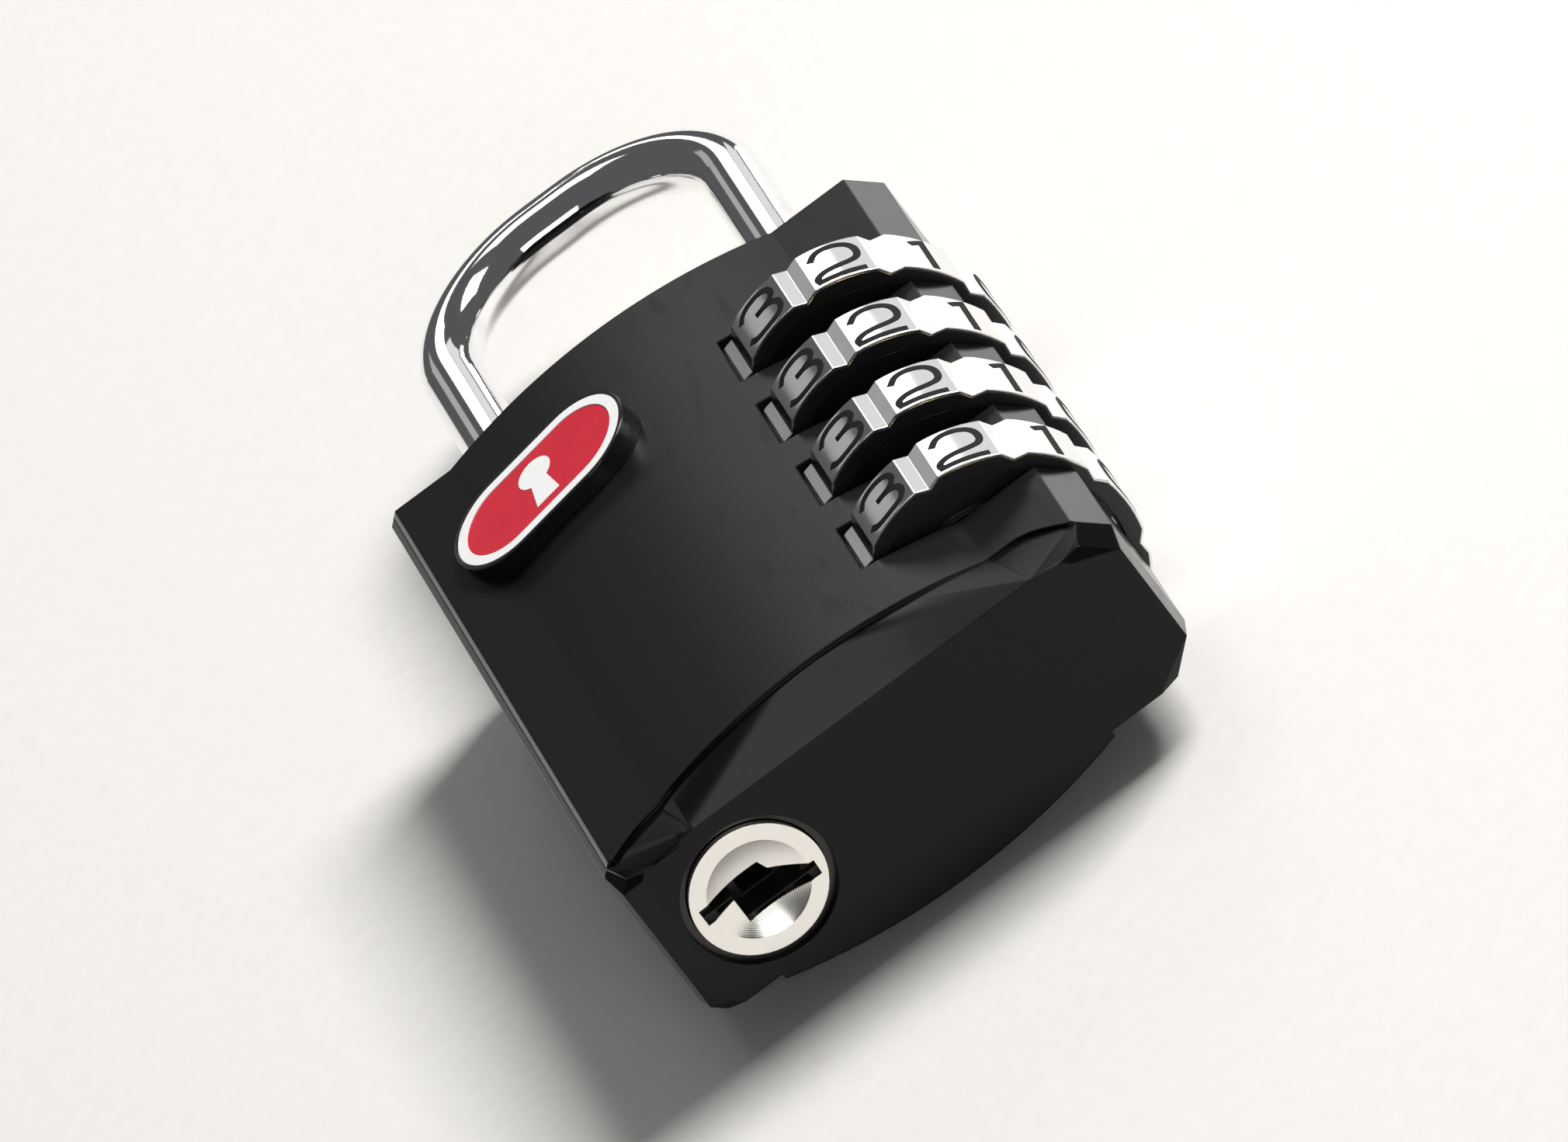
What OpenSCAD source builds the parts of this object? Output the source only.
// Four-dial luggage padlock with a key cylinder beside the dials.
// It lies on its back: +X is the dial side, +Y runs up the shackle, +Z is the front.
// The origin is the middle of the flat end that holds the key plug.

/* [Body] */
// Width across the body, key side to dial side
body_w = 33; // [31:0.5:38]
// Length of the body along the shackle
body_l = 48; // [46:0.5:56]
// Thickness between the two flat shoulders
shoulder_t = 10.8; // [10.6:0.1:13]
// How far the curved front and back stand above the shoulders
bulge_h = 1.6; // [0.8:0.1:2.4]
// Width of the flat shoulder on the key side
key_shoulder = 4.5; // [3.5:0.1:5.5]
// Width of the flat shoulder on the dial side
dial_shoulder = 6.6; // [5:0.1:7.5]
// Bevel along the long edges of the dial side
dial_bevel = 1.7; // [0.8:0.1:2.2]
// Bevel along the long edges of the key side
key_bevel = 0.7; // [0.3:0.1:1]
// How far the shoulders draw in at the key end
end_draw = 0.35; // [0.2:0.05:0.6]
// Length over which they do so
end_draw_l = 2.6; // [1.5:0.1:4]
// Distance of the front skin's lower edge from the key end
end_slope = 4.6; // [3:0.1:7]
// Height of that edge above the band that runs down to the key end
skin_step = 0.25; // [0.1:0.05:0.4]
// Depth of the narrow bevels at the two sides of the key end
end_bevel = 0.5; // [0.3:0.1:0.8]
// Rim of the body left above and below the rear cover
cover_rim = 3; // [2:0.1:4]
// Thickness of the rear cover at its long edges
cover_edge = 0.6; // [0.5:0.05:0.65]
// Diameter of the hidden pins that hold the rear cover
cover_pin_d = 1.6; // [1.2:0.1:1.8]

/* [Dials] */
// Diameter over the number band
dial_d = 16.5; // [16:0.1:17]
// Width of a dial
dial_w = 4.3; // [3.8:0.1:4.6]
// Middle of the dial nearest the key end
first_dial = 12.2; // [12:0.1:12.6]
// Distance of the dial axis from the dial side
dial_inset = 7; // [6.6:0.1:7.4]
// Thickness of the number band
band_t = 0.15; // [0.12:0.01:0.2]
// Width of the groove between two numbers
groove_w = 1.5; // [1:0.1:1.8]
// Depth of that groove
groove_d = 0.35; // [0.3:0.05:0.5]
// Numbers on a dial
facet_count = 10; // [10]
// Depth of the drive notches in the wheel's bore
notch_h = 0.6; // [0.5:0.05:0.7]
// Width of a drive notch
notch_w = 1.3; // [1.1:0.1:1.5]

/* [Code sleeves] */
// Outside diameter of a code sleeve
sleeve_d = 8; // [7.8:0.1:8.2]
// Wall of a code sleeve
sleeve_wall = 0.9; // [0.7:0.05:1]
// Thickness of the slotted web inside a sleeve
web_t = 1.4; // [1:0.1:1.8]
// Diameter of the washer on top of the sleeves
washer_d = 8.8; // [8.6:0.05:8.9]
// Thickness of that washer
washer_t = 0.8; // [0.6:0.1:0.9]
// Height of the spring under the sleeves
stack_spring_h = 1.9; // [1.8:0.1:2.4]

/* [Shackle] */
// Diameter of the shackle rod
rod_d = 3.6; // [3.2:0.1:3.8]
// Distance between the two legs
leg_span = 19.2; // [18.5:0.1:20]
// Height of the loop above the body
loop_h = 27.6; // [20:0.1:40]
// Radius of the two bends, at the middle of the rod
bend_r = 8.5; // [5:0.1:9]
// How far the shackle lifts
lift = 4.4; // [3.8:0.1:4.4]
// Depth of the short leg in its socket
toe_depth = 3.4; // [2.5:0.1:3.6]
// Height of a code fin above the rod
fin_h = 1; // [0.7:0.05:1]
// Length of a fin along the rod
fin_l = 1.4; // [1:0.1:1.8]
// Width of a fin
fin_w = 1.6; // [1:0.1:1.8]
// How far a fin stays below the web of its sleeve
fin_drop = 0.5; // [0.3:0.1:0.8]
// Length of the guide bush in the top of the body
bush_l = 1.2; // [1:0.1:1.2]
// Thickness of the clip that stops the lift
clip_t = 0.5; // [0.4:0.05:0.5]

/* [Key lock] */
// Diameter of the plug's face
plug_d = 7.8; // [7.2:0.1:8]
// Thickness of the plug's head
plug_head = 2; // [1.5:0.1:2.5]
// Diameter of the plug's barrel
barrel_d = 6.4; // [6:0.1:6.6]
// Outside diameter of the cylinder shell
cylinder_d = 8.8; // [8.4:0.1:9]
// Length of the cylinder shell
cylinder_l = 14.2; // [12:0.1:14.6]
// How deep the cylinder's rim lies in the key end
cylinder_sink = 0.5; // [0.2:0.1:0.8]
// Distance from the shackle's short leg to the plug's axis
plug_offset = 0.5; // [0:0.1:0.8]
// Width of the stepped keyway in the plug's face
keyway_w = 6.5; // [4:0.1:6.6]
// Height of the keyway
keyway_h = 2.6; // [2:0.1:2.8]
// Wafers in the barrel
wafer_count = 5; // [3:1:5]
// Small radius of the cam
cam_r = 2.4; // [2:0.1:2.6]
// Travel that the cam gives in a quarter turn
cam_rise = 1.4; // [1:0.1:1.5]
// Thickness of the cam
cam_t = 1.2; // [0.8:0.1:1.4]
// Thickness of the release slide
slide_t = 0.8; // [0.6:0.1:1]
// Width of the release slide's upright
slide_w = 2; // [1.5:0.1:2.4]

/* [Badge] */
// Length of the raised oval badge
badge_l = 12.6; // [9:0.1:13]
// Height of the badge along the body
badge_w = 7.6; // [5:0.1:9]
// Thickness of the badge
badge_t = 1.1; // [0.8:0.1:1.6]
// Width of its border
badge_rim = 0.9; // [0.5:0.1:1.4]
// Distance of its middle from the key side
badge_inset = 8.7; // [8:0.1:10]
// Distance of its middle from the shackle end
badge_drop = 10.6; // [9:0.1:14]

/* [Fits] */
// Running clearance all round a turning piece
run_gap = 0.05; // [0.03:0.01:0.08]
// Clearance all round a sliding piece
slide_gap = 0.1; // [0.06:0.01:0.12]
// Gap between faces that pass or stack on each other
face_gap = 0.1; // [0.06:0.01:0.12]
// Clearance outside a dial in its window
window_gap = 0.25; // [0.2:0.01:0.3]
// Clearance beside a dial in its window
window_side = 0.45; // [0.4:0.01:0.5]
// Seam round the rear cover
seam_gap = 0.04; // [0.02:0.01:0.08]

/* [Hidden] */
$fn = 96;
eps = 0.01;

black = "#222326";
chrome = "#d9dbde";
steel = "#a9adb2";
brass = "#b99a55";
white = "#f2f2f0";
red = "#c8293c";

half_w = body_w / 2;
half_t = shoulder_t / 2;
bulge_x0 = -half_w + key_shoulder;
bulge_x1 = half_w - dial_shoulder;
bulge_mid = (bulge_x0 + bulge_x1) / 2;
bulge_half = (bulge_x1 - bulge_x0) / 2;
bulge_r = (bulge_half * bulge_half + bulge_h * bulge_h) / (2 * bulge_h);
bulge_z = half_t + bulge_h - bulge_r;
// Ends and width of the straight ridge along the front of the key end
ridge_x0 = bulge_x0 + 1;
ridge_x1 = bulge_x1 + 1.5;
ridge_w = 0.1;
seat_z = half_t - cover_edge;
cover_y0 = cover_rim;
cover_y1 = body_l - cover_rim;

dial_count = 4;
dial_x = half_w - dial_inset;
dial_r = dial_d / 2;
wheel_r = dial_r - band_t;
window_r = dial_r + window_gap;
window_w = dial_w + 2 * window_side;
facet_pitch = 360 / facet_count;
// Number 2 looks a little to the dial side of straight up
facet_turn = 71;

sleeve_r = sleeve_d / 2;
sleeve_bore = sleeve_r - sleeve_wall;
// Side of the dial axis on which fins, gates and lugs meet at the opening code
code_a = 180;
washer_r = washer_d / 2;
chamber_r = washer_r + slide_gap;
chamber_y1 = body_l - bush_l;
lug_r = chamber_r - face_gap / 2;
lug_l = 0.5;

rod_r = rod_d / 2;
toe_x = dial_x - leg_span;
bend_y = body_l + loop_h - rod_r - bend_r;
toe_y = body_l - toe_depth;
floor_t = 1.2;
spring_wire = 0.45;
leg_y0 = floor_t + 3.6;
fin_r = rod_r + fin_h;
clip_r = fin_r;
clip_groove_r = rod_r - 0.4;
clip_y1 = chamber_y1 - lift - face_gap;
clip_y0 = clip_y1 - clip_t;

// The washer and the sleeves fill the room between the clip and the first dial
washer_y1 = clip_y0 - face_gap;
stack_y1 = washer_y1 - washer_t;
dial_pitch = (stack_y1 - first_dial) / (dial_count - 0.5);
stack_y0 = stack_y1 - dial_count * dial_pitch;
sleeve_l = dial_pitch - face_gap;

plug_x = toe_x - plug_offset;
plug_r = plug_d / 2;
barrel_r = barrel_d / 2;
cylinder_r = cylinder_d / 2;
plug_y0 = 0.05;
head_y1 = plug_y0 + plug_head;
cylinder_y1 = cylinder_sink + cylinder_l;
cam_y0 = cylinder_y1 + face_gap;
cam_y1 = cam_y0 + cam_t;
clip_w = 0.5;
stub_y1 = cam_y1 + 2 * clip_w;
stub_r = 1.6;
stub_flat = 1.1;
cam_max_r = cam_r + cam_rise;

slide_x1 = plug_x + cylinder_r + 3.2;
slide_x0 = slide_x1 - slide_w;
slide_bar = 1.3;
slide_low_y = stub_y1 + 2 * face_gap;
slide_high_y = washer_y1 + face_gap;
follower_r = 0.4;
finger_w = 1.2;
finger_x1 = plug_x - cam_r - face_gap;
finger_x0 = finger_x1 - finger_w;
nose_x = dial_x - washer_r + 0.65;
return_y = (slide_low_y + slide_high_y) / 2;
return_l = 5;
return_r = 0.95;
return_wire = 0.4;

// Tip of a detent nib, in the groove between two numbers
nib_a = facet_turn + 3.5 * facet_pitch;
nib_r = dial_r - 0.25;
nib_x = dial_x + nib_r * cos(nib_a);
nib_z = nib_r * sin(nib_a);
leaf_x = nib_x - 1.05;
leaf_t = 0.25;
leaf_w = 1.6;

badge_x = -half_w + badge_inset;
badge_y = body_l - badge_drop;

function dial_y(i) = first_dial + (i - 1) * dial_pitch;
function wafer_y(k) = head_y1 + 1 + k * (cylinder_y1 - head_y1 - 2) / wafer_count;
function polar(r, a) = [r * cos(a), r * sin(a)];

mid_x = (plug_x + dial_x) / 2;
cover_pin_places = [
    [mid_x, cover_y0 + 1.5 * cover_pin_d],
    [plug_x + 2, slide_low_y + slide_bar + 2.5 * cover_pin_d],
    [plug_x + 2, cover_y1 - 4 * cover_pin_d],
    [dial_x - 4 * cover_pin_d, (dial_y(2) + dial_y(3)) / 2]];

// Draws in X and Z and fills it from y0 to y1
module along(y0, y1) {
    translate([0, y1, 0]) rotate([90, 0, 0]) linear_extrude(y1 - y0) children();
}

// Round bar or bore along the shackle's direction
module bar(x, y0, y1, r) {
    translate([x, y1, 0]) rotate([90, 0, 0]) cylinder(h = y1 - y0, r = r);
}

// Ring along the shackle's direction
module ring(x, y0, y1, r_out, r_in) {
    difference() {
        bar(x, y0, y1, r_out);
        bar(x, y0 - 1, y1 + 1, r_in);
    }
}

// Box from its two corners
module block(x0, x1, y0, y1, z0, z1) {
    translate([x0, y0, z0]) cube([x1 - x0, y1 - y0, z1 - z0]);
}

// Turns a piece from +X to angle a about the dial axis
module about_dial(a) {
    translate([dial_x, 0, 0]) rotate([0, -a, 0]) children();
}

// Spring drawn as closed turns, with its axis along the shackle's direction
module coil(x, y0, y1, r, turns) {
    step = (y1 - y0 - spring_wire) / (turns - 1);
    for (k = [0 : turns - 1])
        translate([x, y0 + spring_wire / 2 + k * step, 0]) rotate([90, 0, 0])
            rotate_extrude($fn = 32) translate([r, 0]) circle(d = spring_wire, $fn = 8);
}

// ---- Body ----

module slab_profile() {
    polygon([[-half_w, -half_t + key_bevel], [-half_w, half_t - key_bevel], [-half_w + key_bevel, half_t],
        [half_w - dial_bevel, half_t], [half_w, half_t - dial_bevel], [half_w, -half_t + dial_bevel],
        [half_w - dial_bevel, -half_t], [-half_w + key_bevel, -half_t]]);
}

// The slab below the step at the front skin's lower edge
module low_slab() {
    intersection() {
        slab_profile();
        translate([-half_w, -half_t]) square([body_w, shoulder_t - skin_step]);
    }
}

// Outline across the body near the key end, with a straight ridge at height top
module end_profile(x0, x1, bevel_0, bevel_1, top) {
    z = half_t - end_draw;
    polygon([[x0, -z + bevel_0], [x0, z - bevel_0], [x0 + bevel_0, z], [ridge_x0, top], [ridge_x1, top],
        [x1 - bevel_1, z], [x1, z - bevel_1], [x1, -z + bevel_1], [x1 - bevel_1, -z], [x0 + bevel_0, -z]]);
}

// The curved field between the shoulders, from z = low up, in fine flats
module bulge_profile(low) {
    half_angle = asin(bulge_half / bulge_r);
    flats = 48;
    polygon(concat([[bulge_x1, low], [bulge_x1, half_t]],
        [for (k = [1 : flats - 1])
            [bulge_mid, bulge_z] + polar(bulge_r, 90 + half_angle * (2 * k / flats - 1))],
        [[bulge_x0, half_t], [bulge_x0, low]]));
}

// A point on the front skin's lower edge, from its straight middle out to a side
function skin_edge(x0, x1, t) =
    [x0 + (x1 - x0) * t, end_slope - (end_slope - end_draw_l + 0.2) * (1 - cos(90 * t))];

// Plan of the front skin: its lower edge is straight and curves down to both sides
module skin_plan() {
    steps = 6;
    polygon(concat([[-half_w - 1, body_l + 1], [half_w + 1, body_l + 1], [half_w + 1, end_draw_l - 1]],
        [for (k = [steps : -1 : 0]) skin_edge(ridge_x1, half_w - dial_bevel, k / steps)],
        [for (k = [0 : steps]) skin_edge(ridge_x0, -half_w + key_bevel, k / steps)],
        [[-half_w - 1, end_draw_l - 1]]));
}

// The body's straight stretch, without its run-down to the key end
module body_bar() {
    along(end_draw_l, body_l) low_slab();
    intersection() {
        along(end_draw_l, body_l) {
            slab_profile();
            bulge_profile(0);
        }
        linear_extrude(half_t + bulge_h + 1) skin_plan();
    }
}

module body_block() {
    overlap = 1;
    x0 = -half_w + end_draw;
    x1 = half_w - end_draw;
    z = half_t - end_draw;
    body_bar();
    along(0, body_l) mirror([0, 1]) bulge_profile(0);
    // drawn-in shoulders and the flat end between its two narrow bevels
    hull() {
        along(end_draw_l, end_draw_l + overlap) low_slab();
        along(end_bevel, end_bevel + ridge_w) end_profile(x0, x1, key_bevel, dial_bevel, z);
        along(0, ridge_w) end_profile(x0 + 3 * end_bevel - 0.2, x1 - 5 * end_bevel, 0.4, 0.4, half_t);
    }
    // band that runs down from the skin's lower edge to the straight ridge
    hull() {
        along(end_slope, end_slope + overlap) translate([0, -skin_step]) bulge_profile(0);
        block(ridge_x0, ridge_x1, 0, ridge_w, 0, half_t);
    }
}

module dial_windows() {
    for (i = [1 : dial_count])
        bar(dial_x, dial_y(i) - window_w / 2, dial_y(i) + window_w / 2, window_r);
}

// Stepped bore for the long leg, the code sleeves and the chamber above them
module stack_bore() {
    bar(dial_x, floor_t, stack_y0, rod_r + slide_gap);
    bar(dial_x, stack_y0 - stack_spring_h, body_l + 1, sleeve_r + run_gap);
    bar(dial_x, stack_y1 - face_gap / 2, body_l + 1, chamber_r);
    // slot that lets the sleeves' lugs past the webs
    about_dial(code_a) block(0, sleeve_r + notch_h, stack_y0 + 1, stack_y1, -notch_w / 2, notch_w / 2);
}

module slide_room() {
    z1 = slide_t / 2 + slide_gap;
    // upright
    block(slide_x0 - cam_rise - slide_gap, slide_x1 + slide_gap, slide_low_y - slide_gap,
        slide_high_y + slide_bar + slide_gap, -seat_z - 1, z1);
    // lower arm and finger
    block(finger_x0 - cam_rise - slide_gap, slide_x1 + slide_gap, cam_y0,
        slide_low_y + slide_bar + slide_gap, -seat_z, z1);
    // upper arm
    block(slide_x0 - cam_rise - slide_gap, dial_x - 2, slide_high_y - slide_gap,
        slide_high_y + slide_bar + slide_gap, -z1, z1);
    bar(plug_x, cylinder_y1, slide_low_y - slide_gap, cam_max_r + 2 * slide_gap);
    // return spring
    block(slide_x0 - return_l, slide_x0, return_y - return_r - return_wire, return_y + return_r + return_wire,
        -seat_z - 1, return_r + return_wire);
}

// Clamped groove and four open rooms for the leaf comb behind the dials
module detent_room() {
    block(leaf_x - 1.8, leaf_x + leaf_t, stack_y0 + 1, stack_y1, -seat_z - 1, -seat_z + leaf_t);
    for (i = [1 : dial_count])
        block(leaf_x - 0.6, dial_x - sleeve_r - 3, dial_y(i) - leaf_w / 2 - 0.3, dial_y(i) + leaf_w / 2 + 0.3,
            -seat_z - 1, nib_z + 0.9);
}

module cover_pins() {
    color(steel) for (p = cover_pin_places)
        translate([p[0], p[1], -half_t - 0.3]) cylinder(h = half_t - 1.2, d = cover_pin_d, $fn = 32);
}

module body_shell() {
    color(black) difference() {
        body_block();
        // seat of the rear cover
        block(bulge_x0, bulge_x1, cover_y0, cover_y1, -half_t - bulge_h - 1, -seat_z);
        dial_windows();
        stack_bore();
        slide_room();
        detent_room();
        bar(toe_x, toe_y - face_gap, body_l + 1, rod_r + slide_gap);
        bar(plug_x, -1, cylinder_y1, cylinder_r);
        cover_pins();
    }
}

module rear_cover() {
    color(black) difference() {
        union() {
            along(cover_y0 + seam_gap, cover_y1 - seam_gap) intersection() {
                mirror([0, 1]) bulge_profile(seat_z);
                translate([bulge_x0 + seam_gap, -half_t - bulge_h])
                    square([bulge_x1 - bulge_x0 - 2 * seam_gap, half_t]);
            }
            // rib that keeps the release slide flat
            block(slide_x0 + 0.3, slide_x1 - 0.3, slide_low_y + 2, slide_high_y - 1, -seat_z - eps,
                -slide_t / 2 - slide_gap);
        }
        dial_windows();
        cover_pins();
    }
}

// Split bush, so that it closes round the leg above the fins
module guide_bush() {
    color(black) difference() {
        ring(dial_x, chamber_y1, body_l, chamber_r, rod_r + slide_gap);
        block(dial_x - chamber_r - 1, dial_x + chamber_r + 1, chamber_y1 - 1, body_l + 1,
            -seam_gap / 2, seam_gap / 2);
    }
}

// ---- Badge ----

module oval(l, w) {
    translate([-(l - w) / 2, 0]) circle(d = w);
    translate([(l - w) / 2, 0]) circle(d = w);
    square([l - w, w], center = true);
}

// Stands a flat shape on the curved front, between two heights above it
module on_front(h0, h1) {
    lean = asin((badge_x - bulge_mid) / bulge_r);
    translate([bulge_mid, badge_y, bulge_z]) rotate([0, lean, 0])
        translate([0, 0, bulge_r + h0]) linear_extrude(h1 - h0) children();
}

badge_lip = 0.25;
badge_sink = 0.3;

module badge_plate() {
    color(black) difference() {
        on_front(-2, badge_t) oval(badge_l, badge_w);
        body_bar();
        on_front(badge_t - badge_sink, badge_t + 1) oval(badge_l - 2 * badge_lip, badge_w - 2 * badge_lip);
    }
}

module badge_border() {
    color(white) on_front(badge_t - badge_sink, badge_t) difference() {
        oval(badge_l - 2 * badge_lip, badge_w - 2 * badge_lip);
        oval(badge_l - 2 * badge_rim, badge_w - 2 * badge_rim);
    }
}

module badge_inlay() {
    color(red) on_front(badge_t - badge_sink, badge_t - 0.05)
        oval(badge_l - 2 * badge_rim, badge_w - 2 * badge_rim);
}

// ---- Dials and code sleeves ----

// A dial's outline below its number band's face, with a V groove between two numbers
module dial_outline(depth) {
    r = dial_r - depth;
    wall = polar(dial_r, asin(groove_w / 2 / dial_r)) - [dial_r - groove_d, 0];
    difference() {
        circle(r = r);
        for (k = [0 : facet_count - 1])
            rotate(facet_turn + (k + 0.5) * facet_pitch) translate([r - groove_d, 0])
                polygon([[0, 0], 2 * wall, [2 * wall[0], -2 * wall[1]]]);
    }
}

// Number band: thin bright metal all round the wheel
module dial_facets(i) {
    color(chrome) translate([dial_x, 0, 0]) along(dial_y(i) - dial_w / 2, dial_y(i) + dial_w / 2)
        difference() {
            dial_outline(0);
            dial_outline(band_t);
        }
}

module dial_wheel(i) {
    y0 = dial_y(i) - dial_w / 2;
    y1 = dial_y(i) + dial_w / 2;
    dish = 0.3;
    color(black) difference() {
        translate([dial_x, 0, 0]) along(y0, y1) dial_outline(band_t);
        bar(dial_x, y0 - 1, y1 + 1, sleeve_r + run_gap);
        // drive notches, so that a sleeve can be set to any number
        for (k = [0 : facet_count - 1])
            about_dial(code_a + k * facet_pitch)
                block(0, sleeve_r + notch_h, y0 - 1, y1 + 1, -notch_w / 2, notch_w / 2);
        for (y = [y0 - 1, y1 - dish])
            ring(dial_x, y, y + 1 + dish, wheel_r - 0.9, sleeve_r + notch_h + 0.8);
    }
}

module code_sleeve(i) {
    y = dial_y(i);
    gate = fin_w / 2 + 2 * slide_gap;
    color(brass) difference() {
        union() {
            ring(dial_x, y - sleeve_l / 2, y + sleeve_l / 2, sleeve_r, sleeve_bore);
            ring(dial_x, y, y + web_t, sleeve_bore + eps, rod_r + slide_gap);
            // drive lug at the wheel's lower face
            about_dial(code_a) block(sleeve_bore + eps, lug_r, y - dial_w / 2, y - dial_w / 2 + lug_l,
                -notch_w / 2 + slide_gap, notch_w / 2 - slide_gap);
        }
        // gate that lets the fin through at the code number
        about_dial(code_a) block(0, fin_r + 2 * slide_gap, y - 1, y + web_t + 1, -gate, gate);
    }
}

module stack_washer() {
    gate = fin_w / 2 + 2 * slide_gap;
    color(steel) difference() {
        ring(dial_x, stack_y1, washer_y1, washer_r, rod_r + slide_gap);
        about_dial(code_a) block(0, fin_r + slide_gap, stack_y1 - 1, washer_y1 + 1, -gate, gate);
    }
}

module stack_spring() {
    color(steel) coil(dial_x, stack_y0 - stack_spring_h, stack_y0 + face_gap / 2, (rod_r + sleeve_r) / 2 + 0.5, 3);
}

module detent_spring() {
    color(steel) {
        block(leaf_x - 1.7, leaf_x + leaf_t, stack_y0 + 1.5, stack_y1 - 0.5, -seat_z, -seat_z + leaf_t);
        for (i = [1 : dial_count])
            translate([0, dial_y(i) + leaf_w / 2, 0]) rotate([90, 0, 0]) linear_extrude(leaf_w)
                polygon([[leaf_x, -seat_z], [leaf_x + leaf_t, -seat_z], [leaf_x + leaf_t, nib_z - 0.45],
                    [nib_x, nib_z], [leaf_x + leaf_t, nib_z + 0.45], [leaf_x, nib_z + 0.45]]);
    }
}

// ---- Shackle ----

module bend(x, turn) {
    translate([x, bend_y, 0]) rotate([0, 0, turn])
        rotate_extrude(angle = 90) translate([bend_r, 0]) circle(r = rod_r);
}

module shackle() {
    fin_y1 = -fin_drop;
    fin_y0 = fin_y1 - fin_l;
    lead_in = 0.6;
    color(chrome) difference() {
        union() {
            bar(dial_x, leg_y0, bend_y, rod_r);
            bar(toe_x, toe_y, bend_y, rod_r);
            bend(dial_x - bend_r, 0);
            bend(toe_x + bend_r, 90);
            translate([toe_x + bend_r, bend_y + bend_r, 0]) rotate([0, 90, 0])
                cylinder(h = leg_span - 2 * bend_r, r = rod_r);
            for (i = [1 : dial_count])
                about_dial(code_a) block(rod_r - 0.4, fin_r, dial_y(i) + fin_y0, dial_y(i) + fin_y1,
                    -fin_w / 2, fin_w / 2);
        }
        ring(dial_x, clip_y0, clip_y1, rod_r + 1, clip_groove_r);
        // lead-in on the short leg
        difference() {
            bar(toe_x, toe_y - 1, toe_y + lead_in, rod_r + 1);
            translate([toe_x, toe_y + lead_in, 0]) rotate([90, 0, 0])
                cylinder(h = 1 + lead_in, r1 = rod_r, r2 = rod_r - 1 - lead_in / 2);
        }
    }
}

module shackle_clip() {
    color(steel) difference() {
        ring(dial_x, clip_y0, clip_y1, clip_r, clip_groove_r);
        // open side of the clip
        about_dial(0) block(0, clip_r + 1, clip_y0 - 1, clip_y1 + 1, -0.9, 0.9);
    }
}

module shackle_spring() {
    color(steel) coil(dial_x, floor_t, leg_y0, rod_r - 0.35, 5);
}

// ---- Key lock ----

// Stepped slot: a high arm, a middle lobe and a low arm, drawn for a plug seen from its face
module keyway_profile() {
    scale([keyway_w / 6.5, keyway_h / 2.6])
        polygon([[-3.3, 0], [-3.3, 1.05], [-0.75, 1.1], [0.75, 1.1], [1, 0.4], [3, -0.55], [3.25, -0.55],
            [3.2, -1.5], [-1.45, -1.5], [-1.45, 0.05]]);
}

module key_plug() {
    dish_r = 6.1;
    dish_d = 0.75;
    color(chrome) difference() {
        union() {
            bar(plug_x, plug_y0, head_y1, plug_r);
            bar(plug_x, head_y1 - eps, cylinder_y1, barrel_r);
            bar(plug_x, cylinder_y1 - eps, stub_y1, stub_r);
        }
        translate([plug_x, plug_y0 + dish_d - dish_r, 0]) sphere(r = dish_r);
        translate([plug_x, 0, 0]) {
            along(-1, head_y1 - 0.4) keyway_profile();
            along(0, cylinder_y1 - 1) intersection() {
                keyway_profile();
                circle(r = barrel_r - 0.5);
            }
        }
        for (k = [0 : wafer_count - 1])
            block(plug_x - 1.6, plug_x + 1.6, wafer_y(k), wafer_y(k) + 0.9, -barrel_r - 1, barrel_r + 1);
        // flat that drives the cam
        block(plug_x - stub_r, plug_x + stub_r, cylinder_y1, stub_y1 + 1, stub_flat, stub_r + 1);
        ring(plug_x, cam_y1 + face_gap, cam_y1 + face_gap + clip_w, stub_r + 1, stub_r - 0.4);
    }
}

module key_wafers() {
    color(brass) for (k = [0 : wafer_count - 1])
        difference() {
            intersection() {
                block(plug_x - 1.5, plug_x + 1.5, wafer_y(k) + 0.1, wafer_y(k) + 0.8, -barrel_r, barrel_r);
                bar(plug_x, wafer_y(k), wafer_y(k) + 1, barrel_r - run_gap);
            }
            // window for the key, cut to a height of its own in each wafer
            block(plug_x - 1, plug_x + 1, wafer_y(k) - 1, wafer_y(k) + 2, -1.4, 1.2 + 0.2 * (k % 3));
        }
}

module cylinder_shell() {
    color(brass) difference() {
        bar(plug_x, cylinder_sink, cylinder_y1, cylinder_r);
        bar(plug_x, 0, head_y1 + face_gap, plug_r + run_gap);
        bar(plug_x, 0, cylinder_y1 + 1, barrel_r + run_gap);
        // broach slot for the wafers
        block(plug_x - 1.7, plug_x + 1.7, head_y1 + 0.8, cylinder_y1 + 1, -barrel_r - 0.6, barrel_r + 0.6);
    }
}

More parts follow.
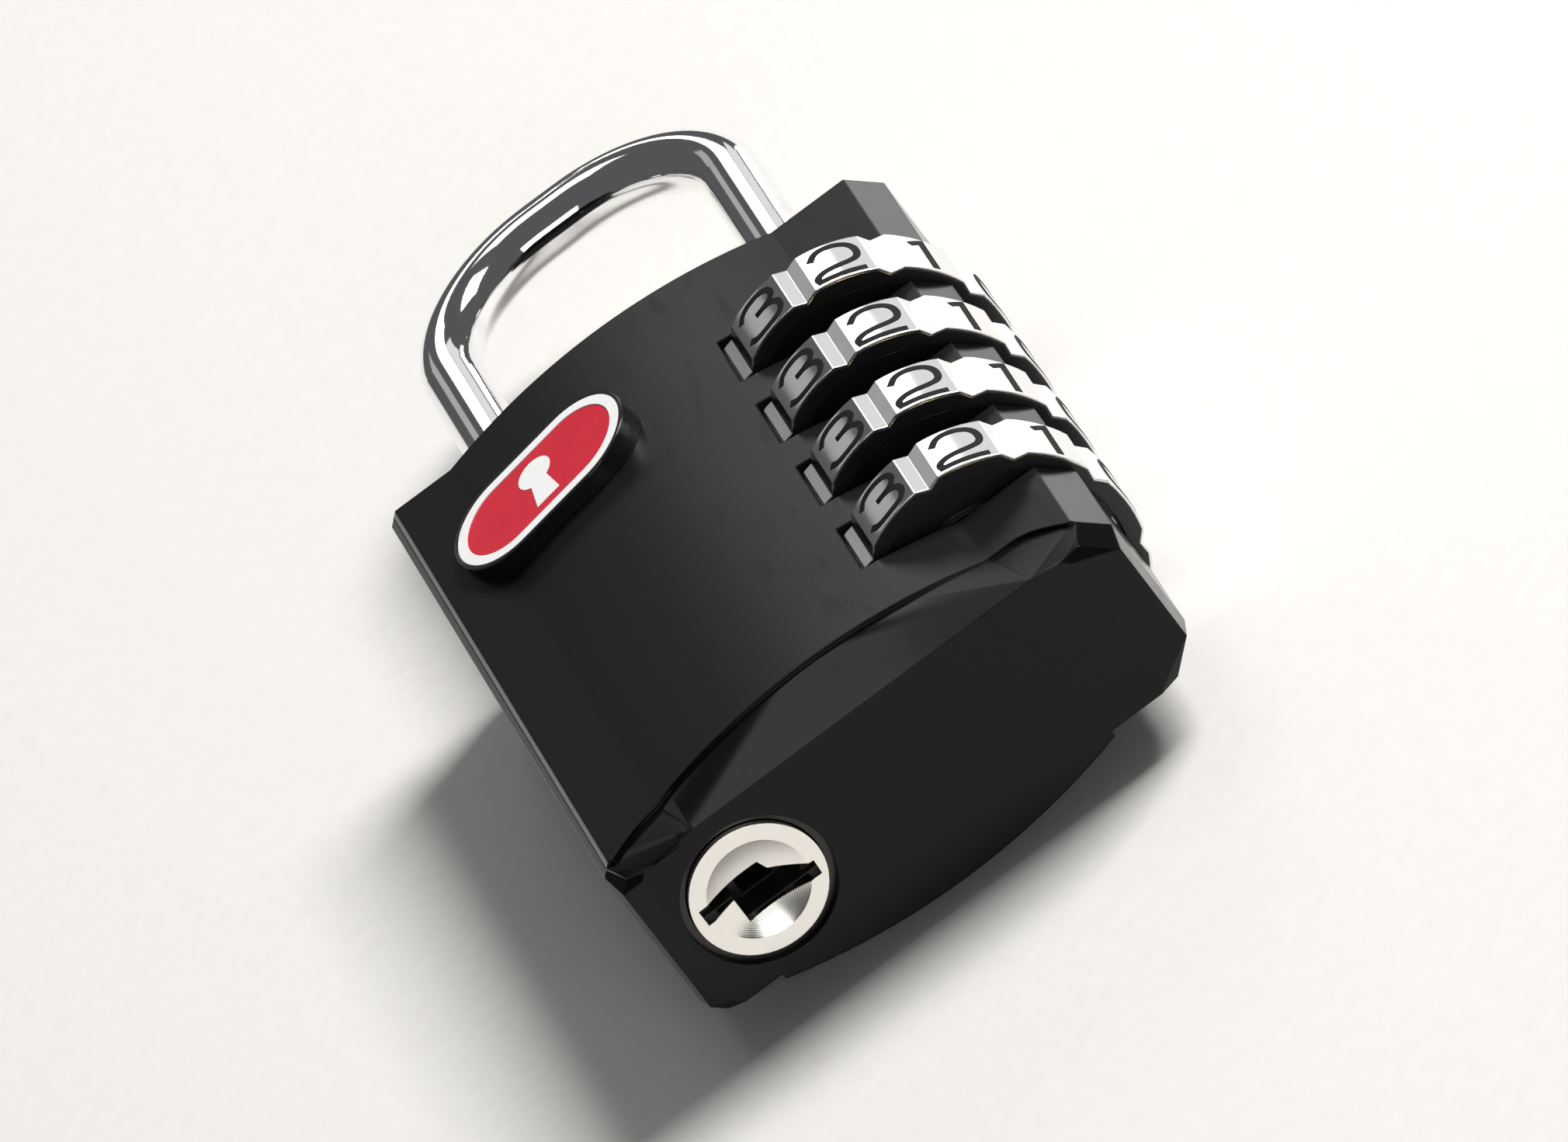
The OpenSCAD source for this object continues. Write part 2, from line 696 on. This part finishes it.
// Spiral that moves the slide evenly over a quarter turn
module plug_cam() {
    color(steel) translate([plug_x, 0, 0]) along(cam_y0, cam_y1) difference() {
        polygon(concat([for (a = [-80 : 5 : 175]) polar(cam_r, a)],
            [for (a = [180 : 5 : 270]) polar(cam_r + cam_rise * (a - 180) / 90, a)]));
        intersection() {
            circle(r = stub_r);
            translate([-stub_r, -stub_r]) square([2 * stub_r, stub_r + stub_flat]);
        }
    }
}

module cam_clip() {
    y0 = cam_y1 + face_gap;
    color(steel) difference() {
        ring(plug_x, y0, y0 + clip_w, 2.3, stub_r - 0.4);
        block(plug_x - 0.7, plug_x + 0.7, y0 - 1, y0 + 1, 0, 3);
    }
}

module release_slide() {
    z0 = -slide_t / 2;
    z1 = slide_t / 2;
    follower_x = finger_x1 - follower_r;
    color(steel) {
        block(slide_x0, slide_x1, slide_low_y, slide_high_y + slide_bar, z0, z1);
        block(finger_x0, slide_x1, slide_low_y, slide_low_y + slide_bar, z0, z1);
        block(slide_x0, nose_x, slide_high_y, slide_high_y + slide_bar, z0, z1);
        // finger with a round follower on the cam
        block(finger_x0, follower_x, cam_y0 + face_gap, slide_low_y + slide_bar, z0, z1);
        bar(follower_x, cam_y0 + face_gap, cam_y1, follower_r);
    }
}

module slide_spring() {
    turns = 5;
    step = (return_l - 2 * face_gap - return_wire) / (turns - 1);
    color(steel) for (k = [0 : turns - 1])
        translate([slide_x0 - face_gap - return_wire / 2 - k * step, return_y, 0]) rotate([0, 90, 0])
            rotate_extrude($fn = 32) translate([return_r, 0]) circle(d = return_wire, $fn = 8);
}

body_shell();
rear_cover();
cover_pins();
badge_plate();
badge_border();
badge_inlay();
guide_bush();
stack_washer();
stack_spring();
detent_spring();
cylinder_shell();
shackle();
shackle_clip();
shackle_spring();
dial_wheel(1);  // dial_wheel_1
dial_wheel(2);  // dial_wheel_2
dial_wheel(3);  // dial_wheel_3
dial_wheel(4);  // dial_wheel_4
dial_facets(1);  // dial_facets_1
dial_facets(2);  // dial_facets_2
dial_facets(3);  // dial_facets_3
dial_facets(4);  // dial_facets_4
code_sleeve(1);  // code_sleeve_1
code_sleeve(2);  // code_sleeve_2
code_sleeve(3);  // code_sleeve_3
code_sleeve(4);  // code_sleeve_4
key_plug();
key_wafers();
plug_cam();
cam_clip();
release_slide();
slide_spring();
